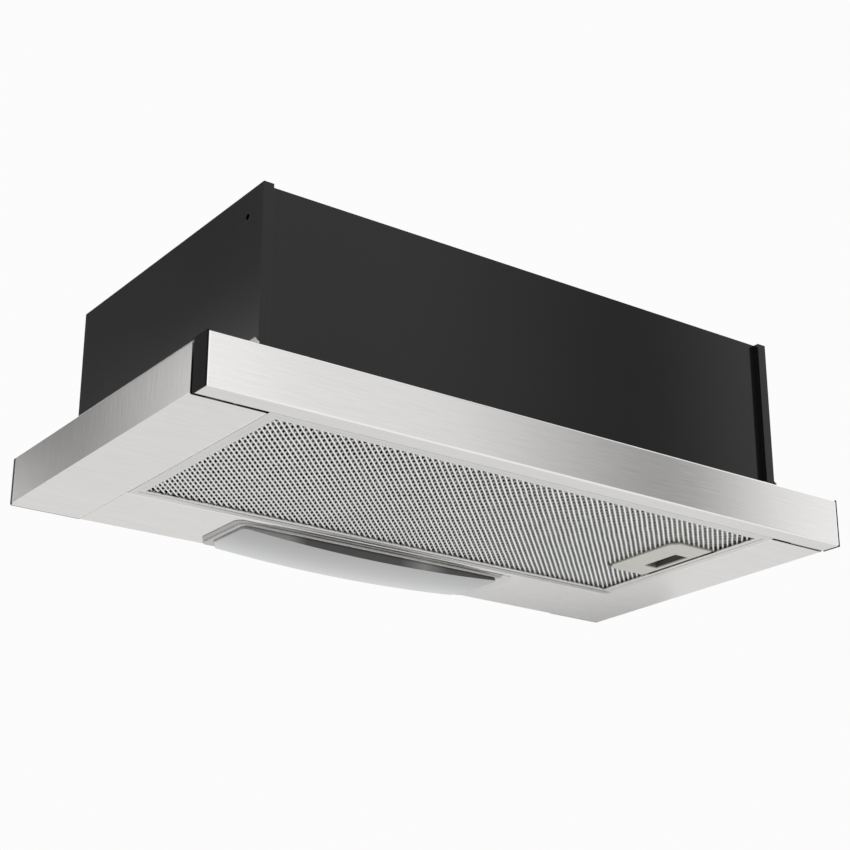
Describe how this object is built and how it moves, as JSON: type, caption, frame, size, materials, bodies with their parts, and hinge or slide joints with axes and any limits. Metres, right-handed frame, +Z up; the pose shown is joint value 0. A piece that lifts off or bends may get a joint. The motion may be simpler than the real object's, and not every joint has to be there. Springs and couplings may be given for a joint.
{
  "type": "pull out range hood",
  "caption": "Built-in range hood whose slim steel visor with its grease filter slides out from under a black body, with a lamp behind the filter and a round duct collar on top.",
  "frame": {"origin": "axis of the outlet collar, at the collar's base where the duct's end stops", "axes": "+Z up along the collar; +X to the right seen from the front; -Y to the front, the way the visor pulls out"},
  "size_m": [0.6, 0.306, 0.2129],
  "materials": {
    "black_paint": "satin black paint on sheet steel",
    "steel": "brushed stainless steel",
    "zinc": "zinc-coated sheet steel",
    "mesh_aluminium": "expanded aluminium mesh",
    "black_plastic": "moulded black plastic",
    "grey_plastic": "moulded warm grey plastic",
    "white_plastic": "white moulding",
    "lens": "frosted translucent plastic",
    "bulb_glass": "frosted glass",
    "motor_metal": "laminated stator and painted end shields",
    "rubber": "black rubber"
  },
  "bodies": {
    "housing": {"side_panel_left": "black_paint", "side_panel_right": "black_paint", "front_panel": "black_paint", "rear_panel": "black_paint", "top_panel": "black_paint", "inner_shelf": "zinc", "wing_left": "steel", "wing_right": "steel", "wing_bracket_left": "steel", "wing_bracket_right": "steel", "wing_screws": "zinc", "rear_strip": "steel", "lamp_bezel": "steel", "lamp_lens": "lens", "lamp_reflector": "white_plastic", "lamp_sockets": "white_plastic", "lamp_bulbs": "bulb_glass", "rail_left": "zinc", "rail_right": "zinc", "rail_bumpers": "rubber", "inner_filter_frame": "steel", "inner_filter_core": "mesh_aluminium", "inner_filter_clips": "zinc", "volute_left": "white_plastic", "volute_right": "white_plastic", "motor": "motor_metal", "motor_bracket": "zinc", "capacitor": "white_plastic", "terminal_box": "black_plastic", "wiring": "rubber", "grommet": "rubber", "outlet_collar": "black_plastic", "collar_screws": "zinc", "body_screws": "zinc", "cable_gland": "black_plastic", "switch_box": "black_plastic"},
    "visor": {"fascia": "steel", "end_cap_left": "black_plastic", "end_cap_right": "black_plastic", "visor_beam": "black_paint", "visor_frame": "zinc", "visor_cover": "zinc", "slide_bar_left": "zinc", "slide_bar_right": "zinc", "fascia_screws": "zinc"},
    "cassette": {"filter_frame": "steel", "filter_mesh": "mesh_aluminium", "filter_backing": "mesh_aluminium", "filter_pivots": "zinc", "catch_housing": "grey_plastic", "catch_back": "grey_plastic"},
    "catch": {"catch_slider": "grey_plastic", "catch_spring": "zinc"},
    "speed_switch": {"speed_knob": "grey_plastic"},
    "light_switch": {"light_knob": "grey_plastic"},
    "fan": {"fan_wheel": "black_plastic", "motor_shaft": "zinc"},
    "front_flap": {"flap_front": "black_plastic"},
    "rear_flap": {"flap_rear": "black_plastic"}
  },
  "joints": [
    {"name": "visor_slide", "type": "slide", "parent": "housing", "child": "visor", "axis": [0, -1, 0], "range_m": [0, 0.14]},
    {"name": "cassette_hinge", "type": "hinge", "parent": "visor", "child": "cassette", "pos_m": [-0.2355, -0.035, -0.174], "axis": [0, 1, 0], "range_deg": [0, 70]},
    {"name": "catch_slide", "type": "slide", "parent": "cassette", "child": "catch", "axis": [-1, 0, 0], "range_m": [0, 0.005], "stiffness_N_per_m": 400, "springref_m": -0.003, "deforming": ["catch_spring"]},
    {"name": "speed_slide", "type": "slide", "parent": "housing", "child": "speed_switch", "axis": [1, 0, 0], "range_m": [0, 0.016]},
    {"name": "light_slide", "type": "slide", "parent": "housing", "child": "light_switch", "axis": [1, 0, 0], "range_m": [0, 0.008]},
    {"name": "fan_spin", "type": "hinge", "parent": "housing", "child": "fan", "pos_m": [0, 0.023, -0.0645], "axis": [1, 0, 0], "continuous": true},
    {"name": "front_flap_hinge", "type": "hinge", "parent": "housing", "child": "front_flap", "pos_m": [0, -0.0045, 0.0026], "axis": [-1, 0, 0], "range_deg": [0, 78]},
    {"name": "rear_flap_hinge", "type": "hinge", "parent": "housing", "child": "rear_flap", "pos_m": [0, 0.0045, 0.0026], "axis": [1, 0, 0], "range_deg": [0, 78]}
  ]
}
